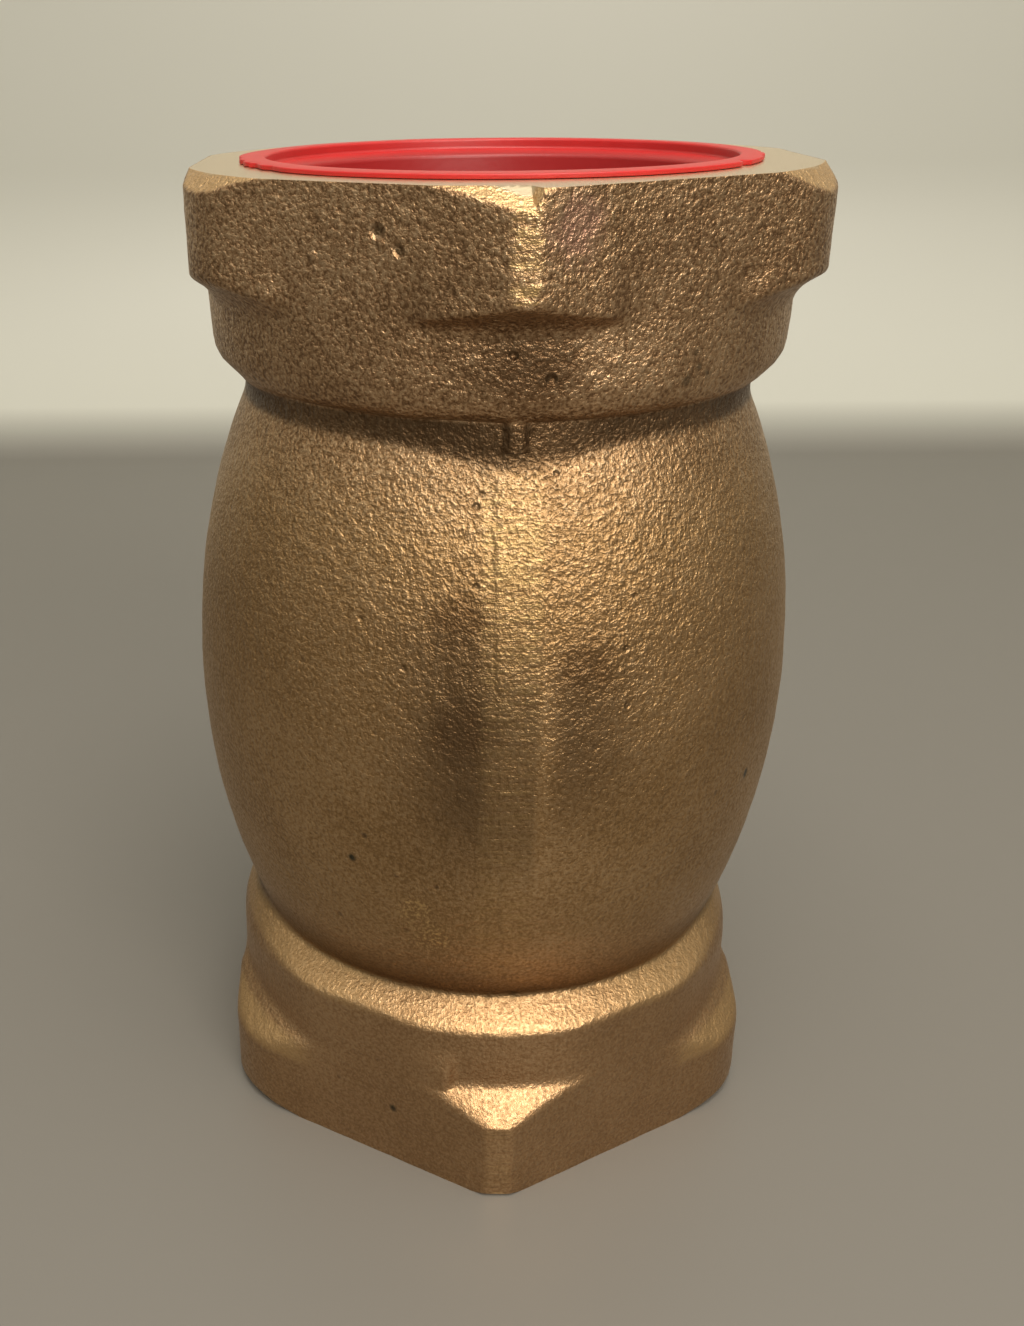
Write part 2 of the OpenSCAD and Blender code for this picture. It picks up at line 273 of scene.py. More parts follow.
# %% Radius of the round part
low_collar, low_collar_edge, ledge_slope = 38.7, 24.2, 1.5
side_collar_edge, side_ledge_slope = 22.6, 0.45
pad_lift, groove_radius, groove_fill, fill_angle = 0.9, 33.4, 0.9, 15
lip_drop, lip_drop_angle = 0.3, 40
side_neck = [(102.6, 33.4), (104.6, 33.45), (104.8, 33.6), (105.3, 34.0), (106.0, 34.6), (107.0, 35.6),
             (108.0, 36.55), (109.0, 37.1), (110.5, 37.32), (112.5, 37.45), (118.6, 37.55)]
front_neck = [(105.2, 33.4), (105.5, 34.0), (105.7, 34.8), (106.2, 35.7), (107.0, 36.4), (108.2, 36.9),
              (109.6, 37.2), (112.5, 37.45), (118.6, 37.55)]


def barrel(z):
    """Radius of the barrel, which is a stretched circle."""
    return barrel_radius * math.sqrt(1 - ((z - barrel_middle) / barrel_half) ** 2)


def low_round(z, azimuth):
    """Radius of the low collar and its ledge, trimmed flush with the flats of the hexagon."""
    beside, left = abs(math.sin(azimuth)), -math.degrees(azimuth)
    pad = swell(left, 8.5, 10, 17, 27) * (1 - smooth_step(z, 17, 22))
    wide = low_collar + smooth_step(beside, 0.5, 0.95) * (collar_radius - low_collar)
    at_side = smooth_step(beside, 0.72, 0.98)
    edge = low_collar_edge + at_side * (side_collar_edge - low_collar_edge)
    ledge = wide - (z - edge) * (ledge_slope + at_side * (side_ledge_slope - ledge_slope))
    collar = smooth_least(wide + pad_lift * pad, ledge, 1.0)
    collar = smooth_least(collar, hexagon(azimuth, False), 0.9)
    return smooth_most(collar, barrel(z), 1.0)


def high_round(z, azimuth):
    """Radius of the barrel, the groove of the neck and the upper collar."""
    degrees = math.degrees(azimuth)
    crisp = 1 - smooth_step(abs(math.sin(azimuth)), 0.7, 0.95)
    side_lip = lerp(z, side_neck)
    front_lip = lerp(z - lip_drop * min(1, abs(degrees) / lip_drop_angle), front_neck)
    fill = math.exp(-((degrees - 1) / fill_angle) ** 2) if z < 106 else 0
    collar = max(side_lip + crisp * (front_lip - side_lip), groove_radius + groove_fill * fill)
    return smooth_most(barrel(z), collar, 0.5) if z < barrel_high + 1.5 else collar


def round_radius(z, azimuth):
    """Radius of the round part of the casting at height z."""
    return low_round(z, azimuth) if z < barrel_low + 2 else high_round(z, azimuth)


# %% [markdown]
# Rows of the grid lie close together where the shape is tight (the chamfers, shoulders and grooves) and wide
# apart on the barrel.

# %% Rows of the casting
end_rows = rows(0, 2.7, 0.18) + rows(2.7, 9.6, 0.75) + rows(9.6, 15.2, 0.22)
outer_rows = (end_rows + rows(15.2, 21.6, 0.7) + rows(21.6, 30.0, 0.34) + rows(30.0, 100.6, 0.9)
              + rows(100.6, 108, 0.36) + rows(108, height - 15.2, 0.6)
              + [height - z for z in reversed(end_rows)])
print(len(outer_rows), "rows on the outside")

# %% [markdown]
# The inside is plain turned steps: the mouth, the bore that the thread is cut in, the web with the hole for
# the seat ring, the cast hollow, the throat and the bore that holds the outlet guide. Radii of the thread
# bores are those at the root of the thread, because the thread's ridges are a piece of their own.

# %% Inside outline
thread_root, thread_depth = 29.95, 20.0
web_low, web_high, web_hole = 22.0, 33.0, 22.5
cavity_radius, cavity_half = 36.3, 60.3
throat, ledge_height = 26.0, 104.0
guide_bore, guide_bore_low_end = 27.6, 111.0
ring_groove_low, ring_groove_high, ring_groove = 108.95, 110.25, 29.0


def cavity(z):
    """Radius of the cast hollow."""
    return cavity_radius * math.sqrt(1 - ((z - barrel_middle) / cavity_half) ** 2)


down_the_inside = rounded([
    (mouth_radius, height, 0.25), (mouth_radius, height - mouth_depth),
    (thread_root, height - mouth_depth - 0.7), (thread_root - 0.55, height - thread_depth + 0.4),
    (guide_bore, guide_bore_low_end), (guide_bore, ring_groove_high), (ring_groove, ring_groove_high),
    (ring_groove, ring_groove_low), (guide_bore, ring_groove_low), (guide_bore, ledge_height),
    (throat, ledge_height, 0.4)], closed=False, steps=2)
down_the_inside += [(throat, 101.5)] + [(cavity(z), z) for z in rows(100, 34.5, 5.0)]
down_the_inside += rounded([
    (cavity(34.5), 34.5), (27.0, web_high), (web_hole, web_high, 0.3), (web_hole, web_low, 0.3),
    (guide_bore, web_low), (guide_bore, thread_depth), (thread_root - 0.55, thread_depth - 0.4),
    (thread_root, mouth_depth + 0.7), (mouth_radius, mouth_depth)], closed=False, steps=2)
print(len(down_the_inside), "points on the inside")

# %% [markdown]
# The end faces are rows too. There the outline runs inwards at one height, so these points are kept as a
# share of the way from the mouth to the edge of the face.

# %% Spin the casting
face_shares = [0.0, 0.012, 0.3, 0.62, 0.9, 0.985]
bottom_face = [(mouth_radius + share * (face_radius - mouth_radius), 0.0) for share in face_shares]
top_face = [(r, height) for r, z in reversed(bottom_face)]
outline = bottom_face + [(hex_far, z) for z in outer_rows] + [(hex_far - 0.5, height)] + top_face
outline += down_the_inside[1:]
around = 336
casting = spin_outline(outline, around)
print(len(casting.verts), "points in the casting's grid")

# %% [markdown]
# Each point now moves to where it belongs. `gather` draws the grid's lines towards the corners. `hexagon`
# gives the radius of the hexagon with rounded corners. The lathe's chamfer and the sloping shoulder are
# radii as well, so the smallest of the three wins, and the round collar wins where it is larger. How far the
# hexagon stands outside the chamfer is kept on each point, because the cut face needs another finish.

# %% Radius of the hexagons, chamfers and shoulders
top_corner_round, low_corner_round, parting_corner_round = 12.0, 14.0, 1.5
low_chamfer_tilts, top_chamfer_tilts = [30] * 6, [30, 46, 36, 30, 36, 38]
parting_spare = 2.8
low_shoulder_top, top_shoulder_top = 15.5, 14.4
parting_bend, parting_round = 9.6, 2.8
top_side_bend, top_side_round = 7.6, 5.0
low_side_bend, low_side_round = 7.2, 2.0
shoulder_end, corner_blend = 19, 2.0


def from_corner(azimuth):
    """Angle from the nearest corner of the hexagons; the front corner is at azimuth 0."""
    return (azimuth + math.pi / 6) % (math.pi / 3) - math.pi / 6


def hexagon(azimuth, at_top):
    """Radius of the hexagon with its corners rounded, less so where the two halves of the mould met."""
    d = abs(from_corner(azimuth))
    on_parting = round(azimuth / (math.pi / 3)) % 3 == 0
    side_corner_round = top_corner_round if at_top else low_corner_round
    corner_round = parting_corner_round if on_parting else side_corner_round
    centre = hex_far - corner_round / math.cos(math.pi / 6)
    if d < math.atan2(corner_round / 2, centre + corner_round * math.cos(math.pi / 6)):
        return centre * math.cos(d) + math.sqrt(corner_round ** 2 - (centre * math.sin(d)) ** 2)
    return hex_flats / 2 / math.cos(math.pi / 6 - d)


def chamfer_slope(azimuth, tilts):
    """Drop of the chamfer for each mm outwards. It was cut by hand, so each corner has a tilt of its own."""
    return math.tan(math.radians(tilts[round(azimuth / (math.pi / 3)) % 6]))


def near_parting(azimuth):
    """1 at the front and back corners, 0 at the four side corners."""
    return smooth_step(abs(math.cos(azimuth)), 0.8, 0.95)


def shoulder(z, azimuth, top, foot_radius, side_bend, side_round):
    """Radius of the sloping shoulder that ends a hexagon, z from the end face, crisper at the parting."""
    crisp = near_parting(azimuth)
    bend = side_bend + crisp * (parting_bend - side_bend)
    fillet = side_round + crisp * (parting_round - side_round)
    if z < bend:
        return hex_far
    lift = z - bend
    bend_end = fillet * math.sin(math.radians(60))
    if lift < bend_end:
        return hex_far - fillet + math.sqrt(fillet ** 2 - lift ** 2)
    run = hex_far - fillet / 2 - foot_radius
    return hex_far - fillet / 2 - (lift - bend_end) * run / max(0.5, top - bend - bend_end)


# %% [markdown]
# `flank` puts these radii together. Near a corner the hexagon, its shoulder and its chamfer count in full.
# In the middle of a flat there is no shoulder: the flat runs straight up into the collar.

# %% Radius of the outside
def flank(z, azimuth):
    """Radius of the casting's outside at height z, and how far the chamfer has cut into it."""
    from_end, at_top = min(z, height - z), z > height / 2
    degrees = math.degrees(azimuth)
    whole = hexagon(azimuth, at_top)
    spare = parting_spare * near_parting(azimuth)
    if at_top:
        spare *= swell(degrees, 0.5, 2.0, 25, 35)
    slope = chamfer_slope(azimuth, top_chamfer_tilts if at_top else low_chamfer_tilts)
    chamfer = face_radius + spare + from_end / slope
    cut = whole - chamfer
    wall = round_radius(z, azimuth)
    if from_end > shoulder_end:
        return wall, cut
    if at_top:
        sloped = shoulder(from_end, azimuth, top_shoulder_top, collar_radius, top_side_bend, top_side_round)
        blend = 1.0 + corner_blend * smooth_step(whole, 38.8, 41)
        corner_share = smooth_step(whole, 38.6, 39.6)
    else:
        foot = low_collar + (1 - near_parting(azimuth)) * (collar_radius - low_collar)
        sloped = shoulder(from_end, azimuth, low_shoulder_top, foot, low_side_bend, low_side_round)
        blend = 0.6
        corner_share = smooth_step(whole, 38.15, 38.9)
    at_corner = smooth_least(smooth_least(whole, sloped, 0.9), chamfer, 0.2)
    if from_end > 7:
        at_corner = smooth_most(at_corner, wall, blend)
    on_flat = smooth_least(whole, chamfer, 0.2)
    on_flat += (wall - on_flat) * smooth_step(from_end, 4, 18)
    return on_flat + (at_corner - on_flat) * corner_share, cut


# %% [markdown]
# The points are moved in one pass. What the finish will need later is written on each point as a number:
# how deep the lathe cut it, how much the belt ground it, how far the crease lies, its share of painted shade
# and darkening, and its share of painted highlight.

# %% Move the casting's points
gather = 0.4
uncut, fully_cut, far_off = -3, 3, 9
new_layer = casting.verts.layers.float.new
turned_layer, ground_layer, crease_layer = new_layer("turned"), new_layer("ground"), new_layer("crease")
shade_and_dark_layer, highlight_layer = new_layer("painted_shade_and_dark"), new_layer("painted_highlight")
cast_verts = []
for v in casting.verts:
    r, z = math.hypot(v.co.x, v.co.y), v.co.z
    azimuth = math.atan2(v.co.x, -v.co.y)
    azimuth -= gather / 6 * math.sin(6 * azimuth)
    from_end = min(z, height - z)
    on_face = from_end < 1e-4
    outside = r > hex_far - 0.6 or (on_face and r > mouth_radius)
    edge, cut = flank(z, azimuth)
    if outside and on_face and r < face_radius:
        share = (r - mouth_radius) / (face_radius - mouth_radius)
        r = mouth_radius + share * (edge - mouth_radius)
        v[turned_layer] = fully_cut
    elif outside:
        r = edge
        v[turned_layer] = max(uncut, min(fully_cut, cut))
        cast_verts.append(v)
    else:
        v[turned_layer] = fully_cut if (from_end < 21 or z > 103) else uncut
    v[crease_layer] = far_off
    v.co = Vector((r * math.sin(azimuth), -r * math.cos(azimuth), z))
print(len(cast_verts), "points on the outside")

# %% [markdown]
# ## What the foundry left
# The two halves of the mould met in a plane through the front and back corners. Bronze creeps into that gap
# and leaves a thin flash, which was ground off: a narrow flat with rough ridges across it on each hexagon, a
# belt-ground band up the barrel, and a rib that bridges the groove at the neck, where no belt can reach. One
# half also sat a touch lower than the other, so the barrel has a faint step beside the band.
#
# Painted shade follows the same shape: the groove, the foot of the barrel and the place under the front
# corner's overhang are darkened as shade. A soft column at each side of the ground band and the band's own
# middle are darker too. The ledge of the low collar and the four side shoulders get a painted highlight.

# %% Where shade and darkening are painted, and where a highlight is painted
def shade_and_dark_at(z, across, degrees, on_band):
    """Share of painted shade and darkening at a height, at a distance across from the parting line and at an
    angle from it.
    """
    # The groove, the barrel's foot and the place under the front corner are painted shade; the columns beside
    # the band and the band's middle are only darker.
    groove_foot = 102.6 - 2.2 * math.exp(-(degrees / 16) ** 2)
    in_groove = swell(z, groove_foot - 0.6, groove_foot + 0.4, 105.1, 105.6)
    at_foot = swell(z, 26.3, 27.2, 28.5, 36)
    under_corner = swell(z, 108, 111, 114.5, 116.5) * (1 - smooth_step(degrees, 4, 16))
    left_column = swell(-across, 1.8, 2.8, 5, 19) * swell(z, 40, 62, 80, 91)
    right_column = swell(across, 3, 7, 8, 20) * swell(z, 50, 66, 76, 86)
    band_middle = on_band * swell(z, 44, 58, 74, 90)
    return max(in_groove, 0.8 * at_foot, 0.65 * under_corner, 0.8 * left_column, 0.7 * right_column,
               0.6 * band_middle)


def painted_highlight_at(z, r, azimuth):
    """Share of painted highlight on the side shoulders of the low hexagon and on the ledge."""
    beside = 1 - near_parting(azimuth)
    on_shoulder = beside * swell(z, 9.6, 11.0, 14, 15.4) * smooth_step(r, 38.6, 39.6)
    on_ledge = swell(z, 23.2, 24.4, 27, 28.4)
    return max(0.4 * on_shoulder, (0.12 + 0.18 * beside) * on_ledge)


# %% Parting line, ground band, step and rib
band_half, band_depth, band_wobble, band_keep = 3.4, 0.1, 0.08, 0.9
step_start, step_depth, step_width = 1.6, 0.16, 0.9
strip_length, low_strip, top_strip, ridge_size = 12.2, 42.86, 43.04, 0.09
rib_middle, rib_half, rib_radius, rib_low, rib_high = 0.2, 0.7, 35.4, 102.2, 106.0
crease = [(30, 0.4), (46, -0.6), (68, -1.6), (91, -2.4), (101, -2.8)]
for v in cast_verts:
    azimuth = math.atan2(v.co.x, -v.co.y)
    r, z = math.hypot(v.co.x, v.co.y), v.co.z
    front = abs(azimuth) < math.pi / 2
    side = azimuth if front else math.copysign(math.pi, azimuth) - azimuth
    across = r * math.sin(side)
    on_band = 0.0
    on_barrel = swell(z, 29.5, 33, 97, 101)
    if on_barrel > 0:
        band = 1 - smooth_step(abs(across), band_half - 0.5, band_half + 0.6)
        wobble = 0.5 + 0.5 * noise.noise(Vector((0, 3 if front else 9, z / 9)))
        proud = r * math.cos(side) - (barrel(z) - band_depth - band_wobble * wobble)
        r -= band * on_barrel * max(0.0, proud) * band_keep
        r -= step_depth * swell(-across, step_start, step_start + step_width, 3, 22) * on_barrel
        on_band = band * on_barrel
    if z < strip_length or z > height - strip_length:
        ridges = ridge_size * noise.noise(Vector((across / 3, 5, z / 0.9)))
        limit = (low_strip if z < height / 2 else top_strip) + ridges
        if r * math.cos(side) > limit:
            r = smooth_least(r, limit / math.cos(side), 0.1)
            on_band = 1.0
    if rib_low < z < rib_high:
        on_rib = 1 - smooth_step(abs(across - rib_middle), rib_half, rib_half + 0.8)
        r += on_rib * max(0.0, rib_radius - r)
    if on_barrel > 0.01:
        v[crease_layer] = (across - lerp(z, crease)) / max(on_barrel, 0.1)
    v[shade_and_dark_layer] = shade_and_dark_at(z, across, abs(math.degrees(side)), on_band)
    v[highlight_layer] = painted_highlight_at(z, r, azimuth)
    v[ground_layer] = on_band
    v.co = Vector((v.co.x, v.co.y, 0)).normalized() * r + Vector((0, 0, z))
# The printed count is of points with painted shade, darkening and painted highlight.
print("grime and rubbing kept on", len(cast_verts), "points")

# %% [markdown]
# Last, the whole skin wavers by a tenth of a millimetre, as rammed sand does. Noise of three sizes moves each
# point along its normal, so that it works on shoulders and flanks alike, and fades out on what the lathe has
# cut. No point leaves the box of the exact model.

# %% Waver of the sand
wavers = [(9, 0.085, Vector((0, 0, 0))), (3.3, 0.05, Vector((9, 2, 4))), (1.5, 0.035, Vector((3, 7, 1)))]
casting.normal_update()
moves = []
for v in cast_verts:
    waver = sum(size * noise.noise(v.co / width + shift) for width, size, shift in wavers)
    cast_share = 1 - smooth_step(v[turned_layer], -0.1, 0.25)
    moves.append(v.normal * waver * cast_share * (1 - 0.6 * v[ground_layer]))
for v, move in zip(cast_verts, moves):
    v.co += move
    v.co.x = max(low.x, min(high.x, v.co.x))
    v.co.y = max(low.y, min(high.y, v.co.y))
    v.co.z = max(0.0, min(height, v.co.z))
bmesh.ops.recalc_face_normals(casting, faces=casting.faces)
piece(casting, "casting", "casting", "cast_bronze", ["body"], crisp=50)

# %% [markdown]
# ## The threads
# A pipe thread is one long ridge wound up the bore, 11.5 turns to the inch, with flanks at 60 degrees and a
# taper of 1 in 16, so its radius shrinks by 1 in 32. A screw modifier could make it, but a spin with a lift
# at each step is the same movement and takes the profile directly. The ridge's foot lies inside the wall, so
# no gap shows, and both ends of it fade into the wall as the real one does.

# %% Threads
pitch = 25.4 / 11.5
ridge_height = 0.8 * pitch
turns, steps_a_turn = 6.6, 72
thread_taper = 32


def thread(name, first_height, upwards):
    """A ridge wound inside the bore, from the mouth at first_height inwards."""
    bm = bmesh.new()
    foot, crest = thread_root + 0.35, thread_root - ridge_height
    half_foot, half_crest = pitch * 0.49, pitch * 0.06
    corners = [(foot, -half_foot), (thread_root, -half_foot), (crest, -half_crest), (crest, half_crest),
               (thread_root, half_foot), (foot, half_foot)]
    verts = [bm.verts.new((r, 0, z)) for r, z in corners]
    edges = [bm.edges.new(pair) for pair in zip(verts, verts[1:] + verts[:1])]
    steps = round(turns * steps_a_turn)
    bmesh.ops.spin(bm, geom=verts + edges, cent=(0, 0, 0), axis=(0, 0, 1),
                   dvec=(0, 0, pitch * turns / steps), angle=2 * math.pi * turns, steps=steps,
                   use_merge=False, use_duplicate=False)
    for v in bm.verts:
        r, angle = math.hypot(v.co.x, v.co.y), math.atan2(v.co.y, v.co.x) / (2 * math.pi)
        turn = angle + round(v.co.z / pitch - angle)
        fade = min(smooth_step(turn, -0.02, 0.35), 1 - smooth_step(turn, turns - 0.6, turns))
        if r < thread_root + 0.1:
            r = thread_root + 0.2 - (thread_root + 0.2 - r) * fade
        v.co.xy = v.co.xy.normalized() * (r - v.co.z / thread_taper)
        v.co.z = first_height + v.co.z if upwards else first_height - v.co.z
    bmesh.ops.holes_fill(bm, edges=[e for e in bm.edges if e.is_boundary], sides=0)
    if not upwards:
        bmesh.ops.transform(bm, matrix=Matrix.Rotation(math.pi, 4, "Z"), verts=bm.verts)
    bmesh.ops.recalc_face_normals(bm, faces=bm.faces)
    piece(bm, name, "casting", "turned_bronze")


thread("inlet_thread", mouth_depth + 1.2, True)
thread("outlet_thread", height - mouth_depth - 1.2, False)

# %% [markdown]
# ## The red plug
# The plug is moulded in soft polythene: a flange as thin as a fingernail, a cup, a step, and a skirt that
# grips the thread. A single outline makes all of it. The flange was trimmed by hand, a little more at the
# right, so its edge gets small nicks, each with an angle, a half width and a depth, and it isn't quite flat.

# %% Red plug
cap_low, cap_high = (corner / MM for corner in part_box("thread_cap"))
flange, cup, skirt, wall = cap_high.x, 30.3, 28.0, 0.8
cup_low, inner_step = height - 3.1, height - 0.9
cap_outline = rounded([
    (0, cap_low.z), (skirt, cap_low.z, 0.5), (skirt + 0.15, cup_low, 0.2), (cup, cup_low, 0.35),
    (cup, height + 0.02, 0.15), (flange - 0.4, height + 0.02), (flange, height + 0.1, 0.08),
    (flange, cap_high.z - 0.12, 0.12), (flange - 0.8, cap_high.z - 0.05),
    (cup - wall, cap_high.z - 0.03, 0.35), (cup - wall, inner_step + 0.3, 0.4),
    (skirt - wall, inner_step - 0.5, 0.6),
    (skirt - wall - 0.1, cap_low.z + wall, 0.6), (0, cap_low.z + wall)], closed=False)
cap = spin_outline(cap_outline, 288, closed=False)
nick_places = [(-84, 5, 0.8), (-76, 3, 0.9), (-66, 5, 0.9), (-57, 4, 0.7), (55.5, 2, 1.8), (74, 3, 0.5),
               (84, 4, 0.6), (150, 8, 0.3), (-150, 6, 0.3)]
for v in cap.verts:
    r, z = math.hypot(v.co.x, v.co.y), v.co.z
    if r < cup + 0.3 or z < height - 0.2:
        continue
    azimuth = math.degrees(math.atan2(v.co.x, -v.co.y))
    share = (r - cup - 0.3) / (flange - cup - 0.3)
    trim = 0.1 * (0.5 + 0.5 * noise.noise(Vector((azimuth / 7, 2, 0)))) + 0.5 * smooth_step(azimuth, 25, 75)
    for place, width, depth in nick_places:
        off = abs(azimuth - place)
        if off < width:
            rough = 0.6 + 1.2 * noise.noise(Vector((azimuth / 1.1, 4, 0)))
            trim += depth * rough * (1 - off / width)
    lift = 0.04 * noise.noise(Vector((azimuth / 25, 7, 0)))
    v.co.xy = v.co.xy.normalized() * (r - max(0.0, trim) * share)
    v.co.z = min(cap_high.z, v.co.z + lift * share)
piece(cap, "red_plug", "cap", "red_polythene", ["thread_cap"], crisp=60)

# %% [markdown]
# ## The spring
# The spring is coiled from round wire, with its last turns closed up so that it stands square on its seats.
# A circle is spun with a small lift, then a large one, then a small one again, each time from where the last
# spin ended. The wire's cut ends are filled.

# %% Spring
wire, coil = 1.0, 12.3
spring_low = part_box("lower_spring_seat")[0].z / MM + 1.2
spring_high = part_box("upper_spring_seat")[1].z / MM - 1.2
closed_turns, open_turns, closed_pitch = 0.75, 5.0, 2.1 * wire
open_pitch = (spring_high - spring_low - 2 * wire - 2 * closed_turns * closed_pitch) / open_turns
spring = bmesh.new()
wire_end = Matrix.Translation((coil, 0, spring_low + wire)) @ Matrix.Rotation(math.pi / 2, 4, "X")
bmesh.ops.create_circle(spring, cap_ends=False, radius=wire, segments=16, matrix=wire_end)
loop = list(spring.verts) + list(spring.edges)
closed_end = (closed_turns, closed_pitch)
for coil_turns, coil_pitch in (closed_end, (open_turns, open_pitch), closed_end):
    steps = round(coil_turns * 48)
    spun = bmesh.ops.spin(spring, geom=loop, cent=(0, 0, 0), axis=(0, 0, 1),
                          dvec=(0, 0, coil_pitch * coil_turns / steps), angle=2 * math.pi * coil_turns,
                          steps=steps, use_merge=False, use_duplicate=False)
    loop = spun["geom_last"]
bmesh.ops.holes_fill(spring, edges=[e for e in spring.edges if e.is_boundary], sides=0)
bmesh.ops.recalc_face_normals(spring, faces=spring.faces)
spring_piece = piece(spring, "valve_spring", "casting", "spring_wire", ["spring"])
lift = frame["joints"][0]["range_m"][1] / MM
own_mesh(spring_piece)

# %% [markdown]
# ## The waved washer
# This washer is stamped from thin sheet and pressed into three waves, so that it pushes back when it is
# squeezed. A flat ring is spun first, and its points then ride up and down a sine.

# %% Waved washer
wave_low, wave_high = (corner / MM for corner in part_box("wave_washer"))
wave_outer, sheet = wave_high.x, 0.4
wave_middle = (wave_low.z + wave_high.z) / 2
washer = spin_outline(rounded([
    (wave_outer - 3, wave_middle - sheet / 2, 0.08), (wave_outer, wave_middle - sheet / 2, 0.08),
    (wave_outer, wave_middle + sheet / 2, 0.08), (wave_outer - 3, wave_middle + sheet / 2, 0.08)]), 192)
for v in washer.verts:
    v.co.z += (wave_high.z - wave_low.z - sheet) / 2 * math.sin(3 * math.atan2(v.co.y, v.co.x))
piece(washer, "waved_washer", "casting", "stainless_sheet", ["wave_washer"])

# %% [markdown]
# ## Taking the edges off
# Every turned or stamped part has had its edges broken, and that thin bright line along an edge is what makes
# metal look like metal. The exact solids have perfectly sharp edges, so each is copied, its loose triangles
# are merged and joined back to whole faces, and its sharp edges are bevelled. Doing this with an operator on
# a copy leaves the exact solid untouched, and the bevel is part of the mesh wherever it is exported.

# %% Bevelled copies of the inner parts
def eased(node, width, slot, segments=2):
    """A bevelled copy of a solid, which then stands for it."""
    solid = frame["nodes"][node]
    bm = bmesh.new()
    bm.from_mesh(solid.data)
    bmesh.ops.scale(bm, vec=(1 / MM, 1 / MM, 1 / MM), verts=bm.verts)
    bmesh.ops.remove_doubles(bm, verts=bm.verts, dist=1e-4)
    bmesh.ops.dissolve_limit(bm, angle_limit=math.radians(0.5), use_dissolve_boundaries=False,
                             verts=bm.verts, edges=bm.edges, delimit={"NORMAL"})
    sharp = [e for e in bm.edges if len(e.link_faces) == 2 and e.calc_face_angle(0) > math.radians(29)]
    bmesh.ops.bevel(bm, geom=sharp, offset=width, offset_type="OFFSET", segments=segments, profile=0.5,
                    affect="EDGES", clamp_overlap=True, material=-1)
    bmesh.ops.recalc_face_normals(bm, faces=bm.faces)
    piece(bm, node + "_eased", solid["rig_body"], slot, [node], crisp=40)


slots = {row["node"]: row["material_slot"] for row in frame["record"]["subparts"]}
easing = {"seat_ring": 0.2, "inlet_guide": 0.3, "outlet_guide": 0.4, "disc_holder": 0.25, "stem": 0.15,
          "lift_stop": 0.15, "lock_nut": 0.12, "lock_washer": 0.12, "seal_washer": 0.15, "seal_disc": 0.2,
          "lower_spring_seat": 0.15, "upper_spring_seat": 0.15, "retaining_ring": 0.12,
          "inlet_guide_bush": 0.15, "outlet_guide_bush": 0.15}
for node_name, width in easing.items():
    eased(node_name, width, slots[node_name])

# %% [markdown]
# ## Materials
# A material is a small network of nodes. One function adds a node, sets it and wires it, and one turns a
# colour as seen on a screen into the linear light that a renderer counts in. Patterns read Object
# coordinates, which are metres here, so a pattern's scale is one over its real size in metres.

# %% Material helpers
def add(tree, kind, wires=None, **settings):
    """Adds a node. wires maps an input to a value or to another node's output."""
    new = tree.nodes.new(kind)
    for key, value in settings.items():
        setattr(new, key, value)
    for key, value in (wires or {}).items():
        if isinstance(value, bpy.types.NodeSocket):
            tree.links.new(value, new.inputs[key])
        else:
            new.inputs[key].default_value = value
    return new


def linear(hex_colour):
    """Linear RGBA of an sRGB colour such as #b08d57."""
    parts = [int(hex_colour[i:i + 2], 16) / 255 for i in (1, 3, 5)]
    return tuple(c / 12.92 if c <= 0.04045 else ((c + 0.055) / 1.055) ** 2.4 for c in parts) + (1.0,)


def per_mm(size):
    """Scale of a pattern whose features are size millimetres wide."""
    return 1 / (size * MM)


def new_material(name):
    """An empty material with its shader and its Object coordinates."""
    material = bpy.data.materials.new(name)
    material.use_nodes = True
    tree = material.node_tree
    shader = tree.nodes["Principled BSDF"]
    where = add(tree, "ShaderNodeTexCoord").outputs["Object"]
    return material, tree, shader, where


# %% [markdown]
# ### Sand-cast bronze
# Red bronze poured in green sand and then shot blasted. The skin is a crust of dimples, one for each grain of
# sand, about half a millimetre wide. Their rims are burnished to gold and their floors stay brown, and as
# tiny slopes face every way the skin glitters under a lamp. Noise for the grain, larger noise for lumps and
# small round cells for the pimples add up to one height for the bump. The grain tints the colour too.

# %% Grain and lumps of the sand
material, tree, shader, where = new_material("sand_cast_bronze")
grain_width, pimple_width, lump_width, cloud_width, pock_spacing = 0.46, 1.0, 1.9, 17.0, 4.4
grain = add(tree, "ShaderNodeTexNoise", {"Vector": where, "Scale": per_mm(grain_width), "Detail": 2.0,
                                         "Roughness": 0.6}).outputs["Fac"]
lumps = add(tree, "ShaderNodeTexNoise", {"Vector": where, "Scale": per_mm(lump_width), "Detail": 2.0,
                                         "Roughness": 0.5}).outputs["Fac"]
cloud = add(tree, "ShaderNodeTexNoise", {"Vector": where, "Scale": per_mm(cloud_width), "Detail": 3.0,
                                         "Roughness": 0.6}).outputs["Fac"]
pimples = add(tree, "ShaderNodeTexVoronoi", {"Vector": where, "Scale": per_mm(pimple_width)},
              feature="SMOOTH_F1").outputs["Distance"]
turned = add(tree, "ShaderNodeAttribute", attribute_name="turned").outputs["Fac"]
ground = add(tree, "ShaderNodeAttribute", attribute_name="ground").outputs["Fac"]
skin_height = add(tree, "ShaderNodeMath", {0: lumps, 1: 0.85, 2: grain}, operation="MULTIPLY_ADD").outputs[0]
skin_height = add(tree, "ShaderNodeMath", {0: pimples, 1: -0.5, 2: skin_height},
                  operation="MULTIPLY_ADD").outputs[0]
print("dimples drawn about", grain_width, "mm wide")

# %% [markdown]
# Here and there a grain of sand broke loose and left a pock, or a drop of bronze ran into the hole it came
# from and left a nugget. Cells about 4 mm apart place them, and the random shade of each cell says which of
# the two it is. The crease beside the ground band is a distance kept on each point of the casting. The lumps
# are added to that distance, so that the crease wanders.

